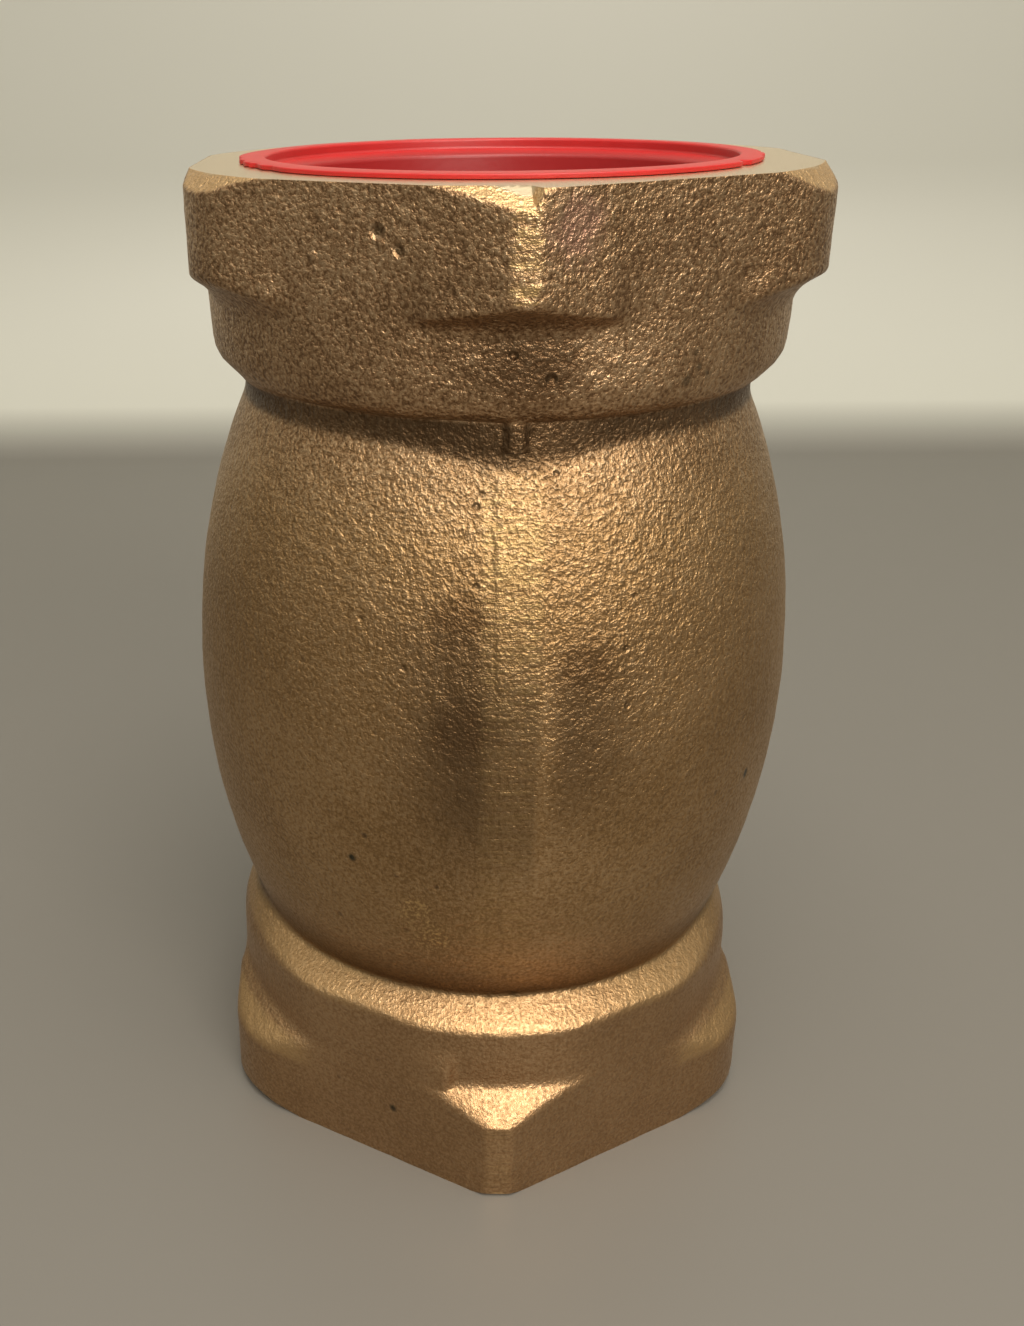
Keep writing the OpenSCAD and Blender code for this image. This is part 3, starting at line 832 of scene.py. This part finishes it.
# %% Pocks, nuggets and the crease
cells = add(tree, "ShaderNodeTexVoronoi", {"Vector": where, "Scale": per_mm(pock_spacing)})
near_middle = add(tree, "ShaderNodeMapRange", {"Value": cells.outputs["Distance"], "From Min": 0.115,
                                               "From Max": 0.045}).outputs["Result"]
which = add(tree, "ShaderNodeSeparateColor", {"Color": cells.outputs["Color"]}).outputs["Red"]
which = add(tree, "ShaderNodeMapRange", {"Value": which, "To Min": -1.4, "To Max": 1.0}).outputs["Result"]
pock = add(tree, "ShaderNodeMath", {0: near_middle, 1: which}, operation="MULTIPLY").outputs[0]
skin_height = add(tree, "ShaderNodeMath", {0: pock, 1: 0.7, 2: skin_height},
                  operation="MULTIPLY_ADD").outputs[0]
crease_off = add(tree, "ShaderNodeAttribute", attribute_name="crease").outputs["Fac"]
crease_off = add(tree, "ShaderNodeMath", {0: lumps, 1: 1.2, 2: crease_off},
                 operation="MULTIPLY_ADD").outputs[0]
crease_off = add(tree, "ShaderNodeMath", {0: crease_off, 1: 0.6}, operation="SUBTRACT").outputs[0]
crease_off = add(tree, "ShaderNodeMath", {0: crease_off}, operation="ABSOLUTE").outputs[0]
in_crease = add(tree, "ShaderNodeMapRange", {"Value": crease_off, "From Min": 0.45, "From Max": 0.08},
                interpolation_type="SMOOTHSTEP").outputs["Result"]
skin_height = add(tree, "ShaderNodeMath", {0: in_crease, 1: -0.15, 2: skin_height},
                  operation="MULTIPLY_ADD").outputs[0]

# %% [markdown]
# A few marks sit at places of their own. Each is a soft ball in space, made ragged by the lumps, and where
# the skin passes through the ball it takes the mark. A place is an angle from the front corner, a height, a
# radius and a reach. The first marks are dents and bumps.

# %% Marks at places of their own
def spot(azimuth, z, radius, reach):
    """1 at a place on the skin, fading to 0 at a reach from it."""
    angle = math.radians(azimuth)
    centre = Vector((radius * math.sin(angle), -radius * math.cos(angle), z)) * MM
    far = add(tree, "ShaderNodeVectorMath", {0: where, 1: centre}, operation="DISTANCE").outputs["Value"]
    far = add(tree, "ShaderNodeMath", {0: lumps, 1: reach * 0.9 * MM, 2: far},
              operation="MULTIPLY_ADD").outputs[0]
    return add(tree, "ShaderNodeMapRange", {"Value": far, "From Min": reach * 1.45 * MM,
                                            "From Max": reach * 0.7 * MM},
               interpolation_type="SMOOTHSTEP").outputs["Result"]


dents = [((-23.2, 126.3, 38.3, 1.0), -2.4), ((-22.6, 125.0, 38.3, 0.8), 0.7),
         ((-19.5, 124.4, 38.5, 0.8), -2.0), ((-35.5, 123.2, 38.1, 0.8), 0.9),
         ((5.5, 111.0, 37.4, 0.7), -2.0), ((-1.0, 113.6, 37.5, 0.6), -1.6)]
for dent_place, depth in dents:
    skin_height = add(tree, "ShaderNodeMath", {0: spot(*dent_place), 1: depth, 2: skin_height},
                      operation="MULTIPLY_ADD").outputs[0]
print(len(dents), "dents and bumps")

# %% [markdown]
# The two ends of the skin are not alike. Up on the hexagon and collar the sand was coarse, and lower down it
# was fine. Where the lathe has cut, the metal is smooth and pale, though the cut at the corners only skims
# the grain, so that most of it is left. Where the belt has ground the parting line, fine scratches run across
# it. They are noise that is stretched sideways, so each scratch is long and thin.

# %% Cut and ground places
place = add(tree, "ShaderNodeSeparateXYZ", {"Vector": where}).outputs["Z"]
coarse = add(tree, "ShaderNodeMapRange", {"Value": place, "From Min": 20 * MM, "From Max": 90 * MM,
                                          "To Min": 0.5, "To Max": 1.0}).outputs["Result"]
ragged = add(tree, "ShaderNodeMath", {0: lumps, 1: 0.9, 2: turned}, operation="MULTIPLY_ADD").outputs[0]
ragged = add(tree, "ShaderNodeMath", {0: grain, 1: 0.6, 2: ragged}, operation="MULTIPLY_ADD").outputs[0]
skimmed = add(tree, "ShaderNodeMapRange", {"Value": ragged, "From Min": 0.7,
                                           "From Max": 1.15}).outputs["Result"]
smooth_cut = add(tree, "ShaderNodeMapRange", {"Value": turned, "From Min": 2.2,
                                              "From Max": 2.8}).outputs["Result"]
across = add(tree, "ShaderNodeMapping", {"Vector": where, "Scale": (per_mm(5), per_mm(5), per_mm(0.45))})
scratches = add(tree, "ShaderNodeTexNoise", {"Vector": across.outputs["Vector"], "Scale": 1.0, "Detail": 3.0,
                                             "Roughness": 0.7}).outputs["Fac"]
belt = add(tree, "ShaderNodeMapRange", {"Value": scratches, "From Min": 0.42,
                                        "From Max": 0.66}).outputs["Result"]
belt = add(tree, "ShaderNodeMath", {0: belt, 1: ground}, operation="MULTIPLY").outputs[0]
kept = add(tree, "ShaderNodeMath", {0: smooth_cut, 1: -0.93, 2: coarse}, operation="MULTIPLY_ADD").outputs[0]
kept = add(tree, "ShaderNodeMath", {0: ground, 1: -0.2, 2: kept}, operation="MULTIPLY_ADD", use_clamp=True)
grain_bump = add(tree, "ShaderNodeBump", {"Strength": kept.outputs[0], "Distance": 0.28 * MM,
                                          "Height": skin_height})
scratch_bump = add(tree, "ShaderNodeBump", {"Strength": ground, "Distance": 0.1 * MM, "Height": scratches,
                                            "Normal": grain_bump.outputs["Normal"]})
tree.links.new(scratch_bump.outputs["Normal"], shader.inputs["Normal"])

# %% [markdown]
# Most of the contrast comes from the relief and its reflections, so the colour stays quiet: brown floors,
# golden rims, and slow clouds of darker and lighter metal where the crust came off the sand hotter or
# cooler. Near the foot of the valve the sand was fine and the skin is calmer still, and the barrel is a
# little yellower than the ends.

# %% Colours of the skin
floor_brown, skin_brown, rim_gold = linear("#7e6145"), linear("#ac8a66"), linear("#cbab86")
tone = add(tree, "ShaderNodeMath", {0: cloud, 1: 0.35, 2: grain}, operation="MULTIPLY_ADD").outputs[0]
ramp = add(tree, "ShaderNodeValToRGB", {"Fac": tone})
stops = ramp.color_ramp.elements
stops[0].position, stops[0].color = 0.53, floor_brown
stops[1].position, stops[1].color = 0.84, rim_gold
stops.new(0.67).color = skin_brown
calm = add(tree, "ShaderNodeMapRange", {"Value": place, "From Min": 20 * MM, "From Max": 50 * MM,
                                        "To Min": 0.6, "To Max": 0.0}).outputs["Result"]
colour = add(tree, "ShaderNodeMix", {"Factor": calm, "A": ramp.outputs["Color"], "B": linear("#a9865f")},
             data_type="RGBA").outputs["Result"]
up_barrel = add(tree, "ShaderNodeMapRange", {"Value": place, "From Min": 26 * MM, "From Max": 40 * MM})
down_barrel = add(tree, "ShaderNodeMapRange", {"Value": place, "From Min": 106 * MM, "From Max": 92 * MM,
                                               "To Max": 0.45})
on_barrel = add(tree, "ShaderNodeMath", {0: up_barrel.outputs["Result"], 1: down_barrel.outputs["Result"]},
                operation="MULTIPLY").outputs[0]
colour = add(tree, "ShaderNodeMix", {"Factor": on_barrel, "A": colour, "B": linear("#a48352")},
             data_type="RGBA").outputs["Result"]

# %% [markdown]
# Stains are marks too: brown ones where the casting lay, a rosy one by the front corner, small black specks
# of burnt sand and dull pocks. Low on the barrel the shot has gilded two patches, but only on the tips of the
# grain. The painted shade and darkening kept on the points come on top, patchy with the clouds.

# %% Stains, gilding, painted shade and darkening
def stained(colour, hex_colour, share, places):
    """The colour with a stain laid over it at each place."""
    for spot_place in places:
        strength = add(tree, "ShaderNodeMath", {0: spot(*spot_place), 1: share},
                       operation="MULTIPLY").outputs[0]
        mixed = add(tree, "ShaderNodeMix", {"Factor": strength, "A": colour, "B": linear(hex_colour)},
                    data_type="RGBA")
        colour = mixed.outputs["Result"]
    return colour


brown_stains = [(-9.0, 84, 39.3, 4.5), (-8, 70, 41.3, 6.0), (12.5, 78, 40.5, 5.0), (2, 112, 37.3, 7.0)]
gilt_patches = [(-13.7, 38.4, 38.0, 3.6), (-16.5, 43.0, 39.2, 3.0)]
black_specks = [(-28.2, 49.9, 40.4, 0.8), (-21.7, 9.1, 38.8, 0.9), (52.1, 56.2, 41.2, 1.0),
                (3.5, 27.5, 34.6, 0.9)]
dull_pocks = [(31, 109.5, 37.2, 1.1), (33.5, 111.0, 37.4, 0.7), (35.8, 110, 37.4, 0.8),
              (32.3, 112.6, 37.5, 0.6), (-23.2, 126.3, 38.3, 0.7), (-19.5, 124.4, 38.5, 0.5)]
colour = stained(colour, "#604329", 0.45, brown_stains)
colour = stained(colour, "#bd9083", 0.4, [(7.2, 127, 41.5, 5.0)])
grain_tips = add(tree, "ShaderNodeMapRange", {"Value": grain, "From Min": 0.5,
                                              "From Max": 0.75}).outputs["Result"]
for gilt_place in gilt_patches:
    gilt = add(tree, "ShaderNodeMath", {0: spot(*gilt_place), 1: grain_tips}, operation="MULTIPLY").outputs[0]
    colour = add(tree, "ShaderNodeMix", {"Factor": gilt, "A": colour, "B": linear("#dbb577")},
                 data_type="RGBA").outputs["Result"]
colour = stained(colour, "#33352a", 0.9, black_specks)
colour = stained(colour, "#4a3f2c", 0.6, dull_pocks)
# Painted shade in the groove, at the barrel's foot and under the front corner, with darker columns and band
# middle, is mixed into the colour here.
painted_shade_and_dark = add(tree, "ShaderNodeAttribute", attribute_name="painted_shade_and_dark").outputs["Fac"]
patchy = add(tree, "ShaderNodeMapRange", {"Value": cloud, "From Min": 0.3, "From Max": 0.65, "To Min": 0.5,
                                          "To Max": 0.92}).outputs["Result"]
painted_shade_and_dark = add(tree, "ShaderNodeMath", {0: painted_shade_and_dark, 1: patchy}, operation="MULTIPLY").outputs[0]
colour = add(tree, "ShaderNodeMix", {"Factor": painted_shade_and_dark, "A": colour, "B": linear("#54402c")},
             data_type="RGBA").outputs["Result"]
# Pocks and the crease are darkened: painted shade.
pit_and_crease_shade = add(tree, "ShaderNodeMath", {0: pock, 1: -0.4}, operation="MULTIPLY", use_clamp=True).outputs[0]
pit_and_crease_shade = add(tree, "ShaderNodeMath", {0: in_crease, 1: 0.1, 2: pit_and_crease_shade}, operation="MULTIPLY_ADD", use_clamp=True)
colour = add(tree, "ShaderNodeMix", {"Factor": pit_and_crease_shade.outputs[0], "A": colour, "B": linear("#4c3826")},
             data_type="RGBA").outputs["Result"]

# %% [markdown]
# Bare metal is paler than the crust. The lathe's cut shows it fully on the end faces and in speckles on the
# chamfers. The side shoulders and the ledge show a little of it as a painted highlight, and the belt's
# scratches show it, most near the top of the band, where it is a painted highlight. The end faces are also
# glossier, and so are the tips of the grain.

# %% Cut and ground colours, painted highlights, and gloss
skim = add(tree, "ShaderNodeMath", {0: skimmed, 1: 0.8}, operation="MULTIPLY").outputs[0]
# The side shoulders and the ledge get a painted highlight: a paler base colour.
painted_highlight = add(tree, "ShaderNodeAttribute", attribute_name="painted_highlight").outputs["Fac"]
# Higher up the band the belt's paler colour grows stronger: a painted highlight on top of the real belt wear.
painted_band_highlight = add(tree, "ShaderNodeMapRange", {"Value": place, "From Min": 70 * MM, "From Max": 94 * MM,
                                        "To Min": 0.12, "To Max": 0.45}).outputs["Result"]
belt_wear_and_highlight = add(tree, "ShaderNodeMath", {0: belt, 1: painted_band_highlight}, operation="MULTIPLY").outputs[0]
for share, bare in ((skim, "#dcb784"), (smooth_cut, "#e6d2b0"), (painted_highlight, "#e2bd84"), (belt_wear_and_highlight, "#dcbd80")):
    colour = add(tree, "ShaderNodeMix", {"Factor": share, "A": colour, "B": linear(bare)},
                 data_type="RGBA").outputs["Result"]
tree.links.new(colour, shader.inputs["Base Color"])
roughness = add(tree, "ShaderNodeMapRange", {"Value": grain, "From Min": 0.3, "From Max": 0.7, "To Min": 0.5,
                                             "To Max": 0.32}).outputs["Result"]
roughness = add(tree, "ShaderNodeMix", {"Factor": smooth_cut, "A": roughness, "B": 0.3}).outputs["Result"]
tree.links.new(roughness, shader.inputs["Roughness"])
shader.inputs["Metallic"].default_value = 1.0
finishes = {"cast_bronze": material}
print(len(tree.nodes), "nodes in the bronze")

# %% [markdown]
# ### Turned bronze and stainless steel
# A lathe tool leaves a groove at every turn, so turned metal has rings round its axis, on its faces and on
# its sides. One wave of rings about Z and one of bands along Z draw them, and the way a face looks decides
# which of the two shows. The real feed of about 0.15 mm is too fine to show, so it is drawn three times as
# coarse.

# %% Turned and ground metals
feed = 0.45


def metal(name, hex_colours, low_roughness, high_roughness, groove_depth, mottle_width):
    """A bare metal with tool marks round the axis and a slight mottle in its gloss."""
    material, tree, shader, where = new_material(name)
    wave_scale = 2 * math.pi / 20 / (feed * MM)
    rings = add(tree, "ShaderNodeTexWave", {"Vector": where, "Scale": wave_scale, "Distortion": 0.6,
                                            "Detail": 1.0}, wave_type="RINGS", rings_direction="Z")
    bands = add(tree, "ShaderNodeTexWave", {"Vector": where, "Scale": wave_scale, "Distortion": 0.6,
                                            "Detail": 1.0}, wave_type="BANDS", bands_direction="Z")
    facing = add(tree, "ShaderNodeSeparateXYZ", {"Vector": add(tree, "ShaderNodeTexCoord").outputs["Normal"]})
    flatness = add(tree, "ShaderNodeMath", {0: facing.outputs["Z"]}, operation="ABSOLUTE").outputs[0]
    grooves = add(tree, "ShaderNodeMix", {"Factor": flatness, "A": bands.outputs["Fac"],
                                          "B": rings.outputs["Fac"]}).outputs["Result"]
    mottle = add(tree, "ShaderNodeTexNoise", {"Vector": where, "Scale": per_mm(mottle_width), "Detail": 4.0,
                                              "Roughness": 0.6}).outputs["Fac"]
    tint = add(tree, "ShaderNodeMix", {"Factor": mottle, "A": linear(hex_colours[0]),
                                       "B": linear(hex_colours[1])}, data_type="RGBA").outputs["Result"]
    gloss = add(tree, "ShaderNodeMapRange", {"Value": mottle, "From Min": 0.3, "From Max": 0.7,
                                             "To Min": low_roughness, "To Max": high_roughness})
    bump = add(tree, "ShaderNodeBump", {"Distance": groove_depth * MM, "Height": grooves})
    tree.links.new(tint, shader.inputs["Base Color"])
    tree.links.new(gloss.outputs["Result"], shader.inputs["Roughness"])
    tree.links.new(bump.outputs["Normal"], shader.inputs["Normal"])
    shader.inputs["Metallic"].default_value = 1.0
    return material


finishes["turned_bronze"] = metal("turned_bronze", ("#b98f52", "#d8b377"), 0.22, 0.38, 0.012, 5.0)
finishes["stainless_rod"] = metal("ground_stainless_rod", ("#a9abad", "#c4c6c7"), 0.16, 0.28, 0.006, 4.0)
finishes["stainless_sheet"] = metal("tumbled_stainless_sheet", ("#9fa1a2", "#bcbec0"), 0.3, 0.46, 0.003, 1.6)
finishes["spring_wire"] = metal("drawn_spring_wire", ("#97989a", "#b4b5b6"), 0.26, 0.36, 0.002, 0.9)

# %% [markdown]
# ### Soft red polythene, rubber and acetal
# The plug is low density polythene: waxy, a little see-through, so light that enters its rim comes out again
# nearby and makes thin places glow. Nitrile rubber is nearly black with a dull skin, and acetal is a milky
# white that is turned from rod. One function makes all three, because they differ only in colour, gloss, the
# fine texture of their skin and how far light travels inside them.

# %% Plastics and rubber
def plastic(name, hex_colours, roughness_value, patch_width, skin_width, skin_depth, glow, glow_reach,
            painted_shade_colour=None):
    """A moulded plastic. Light travels inside it by a share of glow, as far as glow_reach in mm. The deep
    colour darkens the walls deep in the cup: painted shade."""
    material, tree, shader, where = new_material(name)
    patches = add(tree, "ShaderNodeTexNoise", {"Vector": where, "Scale": per_mm(patch_width), "Detail": 3.0})
    tint = add(tree, "ShaderNodeMix", {"Factor": patches.outputs["Fac"], "A": linear(hex_colours[0]),
                                       "B": linear(hex_colours[1])}, data_type="RGBA").outputs["Result"]
    # Deep in the cup the red is darkened: painted shade.
    if painted_shade_colour:
        z = add(tree, "ShaderNodeSeparateXYZ", {"Vector": where}).outputs["Z"]
        deep_shade = add(tree, "ShaderNodeMapRange", {"Value": z, "From Min": (height - 0.8) * MM,
                                                "From Max": (height - 1.3) * MM}).outputs["Result"]
        tint = add(tree, "ShaderNodeMix", {"Factor": deep_shade, "A": tint, "B": linear(painted_shade_colour)},
                   data_type="RGBA").outputs["Result"]
    skin = add(tree, "ShaderNodeTexNoise", {"Vector": where, "Scale": per_mm(skin_width), "Detail": 2.0})
    bump = add(tree, "ShaderNodeBump", {"Distance": skin_depth * MM, "Height": skin.outputs["Fac"]})
    tree.links.new(tint, shader.inputs["Base Color"])
    tree.links.new(bump.outputs["Normal"], shader.inputs["Normal"])
    shader.inputs["Roughness"].default_value = roughness_value
    shader.inputs["IOR"].default_value = 1.5
    shader.inputs["Subsurface Weight"].default_value = glow
    shader.inputs["Subsurface Radius"].default_value = (1.0, 0.35, 0.3)
    shader.inputs["Subsurface Scale"].default_value = glow_reach * MM
    return material


# The red plug's last colour is painted shade deep in its cup.
finishes["red_polythene"] = plastic("moulded_red_polythene", ("#a41617", "#b51f1e"), 0.42, 6.0, 1.2, 0.03,
                                    0.4, 1.0, "#901516")
finishes["nitrile_rubber"] = plastic("moulded_nitrile_rubber", ("#161616", "#242322"), 0.56, 2.0, 0.5, 0.01,
                                     0, 1)
finishes["acetal"] = plastic("turned_acetal", ("#e2ddd2", "#efece4"), 0.38, 3.0, 0.4, 0.006, 0.25, 1.0)

# %% [markdown]
# Each piece now gets the finish that its slot names. The two small O-rings were not dressed, so they keep
# their exact solids and take their slot from the record.

# %% Give every piece its finish
for thing in made.values():
    thing.data.materials.append(finishes[thing["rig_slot"]])
for name, thing in frame["nodes"].items():
    if not thing.hide_render:
        thing.data.materials.clear()
        thing.data.materials.append(finishes[slots[name]])
        print(name, "keeps its solid")

# %% [markdown]
# ## The studio
# Metal shows what stands round it, so the room matters as much as the lamps. The valve stands on a plain pale
# sheet that curves up into a wall behind it: one outline, drawn from the front to the top of the wall and
# stretched sideways. The sheet is paler where it rises into the wall. The room in front is a sky with a dim
# horizon and a bright ceiling. The dim part keeps the upright sides brown, and the bright part draws the
# broad highlight where the barrel leans back.

# %% Floor and wall, in metres
front_end, wall_distance, wall_height, wall_bend, half_width = -5.0, 0.42, 0.7, 0.1, 4.0
sweep_outline = rounded([(front_end, 0.0), (wall_distance, 0.0, wall_bend), (wall_distance, wall_height)],
                        closed=False, steps=16)
sweep_mesh = bmesh.new()
sweep_verts = [sweep_mesh.verts.new((-half_width, y, z)) for y, z in sweep_outline]
sweep_edges = [sweep_mesh.edges.new(pair) for pair in zip(sweep_verts, sweep_verts[1:])]
stretched = bmesh.ops.extrude_edge_only(sweep_mesh, edges=sweep_edges)["geom"]
bmesh.ops.translate(sweep_mesh, vec=(2 * half_width, 0, 0),
                    verts=[item for item in stretched if isinstance(item, bmesh.types.BMVert)])
bmesh.ops.recalc_face_normals(sweep_mesh, faces=sweep_mesh.faces)
sweep_data = bpy.data.meshes.new("floor_and_wall")
sweep_mesh.to_mesh(sweep_data)
sweep_mesh.free()
sweep_data.shade_smooth()
sweep = bpy.data.objects.new("floor_and_wall", sweep_data)
bpy.context.scene.collection.objects.link(sweep)
material, tree, shader, where = new_material("matt_paper")
rise = add(tree, "ShaderNodeSeparateXYZ", {"Vector": where}).outputs["Z"]
rise = add(tree, "ShaderNodeMapRange", {"Value": rise, "From Min": 0.0005,
                                        "From Max": 0.012}).outputs["Result"]
paper = add(tree, "ShaderNodeMix", {"Factor": rise, "A": linear("#716e68"), "B": linear("#c4c4ba")},
            data_type="RGBA").outputs["Result"]
tree.links.new(paper, shader.inputs["Base Color"])
shader.inputs["Roughness"].default_value = 0.42
sweep_data.materials.append(material)

# %% [markdown]
# Three soft lamps light it: one for the wall, a key from the front right and a large one overhead. The
# colours are just off white, as daylight through a window is.

# %% Lamps and sky
def area_light(name, place, aim, size, power, hex_colour):
    """A rectangular lamp at a place in metres, turned to an aim."""
    lamp = bpy.data.objects.new(name, bpy.data.lights.new(name, "AREA"))
    bpy.context.scene.collection.objects.link(lamp)
    lamp.data.shape = "RECTANGLE"
    lamp.data.size, lamp.data.size_y = size
    lamp.data.energy = power
    lamp.data.color = linear(hex_colour)[:3]
    lamp.location = place
    lamp.rotation_mode = "QUATERNION"
    lamp.rotation_quaternion = (Vector(aim) - Vector(place)).to_track_quat("-Z", "Y")


area_light("wall_lamp", (0.0, 0.1, 0.62), (0, 0.42, 0.2), (0.6, 0.12), 0.3, "#fff8ee")
area_light("key_softbox", (0.18, -0.52, 0.42), (0, 0, 0.09), (0.36, 0.22), 2.5, "#fff6ea")
area_light("ceiling_softbox", (0.04, -0.16, 0.62), (0, 0, 0.06), (0.36, 0.3), 2.4, "#fff8ee")

world = bpy.data.worlds.new("studio")
world.use_nodes = True
bpy.context.scene.world = world
tree = world.node_tree
upwards = add(tree, "ShaderNodeSeparateXYZ", {"Vector": add(tree, "ShaderNodeTexCoord").outputs["Generated"]})
sky = add(tree, "ShaderNodeValToRGB", {"Fac": upwards.outputs["Z"]})
stops = sky.color_ramp.elements
stops[0].position, stops[0].color = 0.0, linear("#645f59")
stops[1].position, stops[1].color = 0.6, linear("#e0dacc")
stops.new(0.1).color = linear("#69645e")
stops.new(0.27).color = linear("#cbc6ba")
tree.links.new(sky.outputs["Color"], tree.nodes["Background"].inputs["Color"])
tree.nodes["Background"].inputs["Strength"].default_value = 1.1
bpy.context.scene.view_settings.view_transform = "Standard"
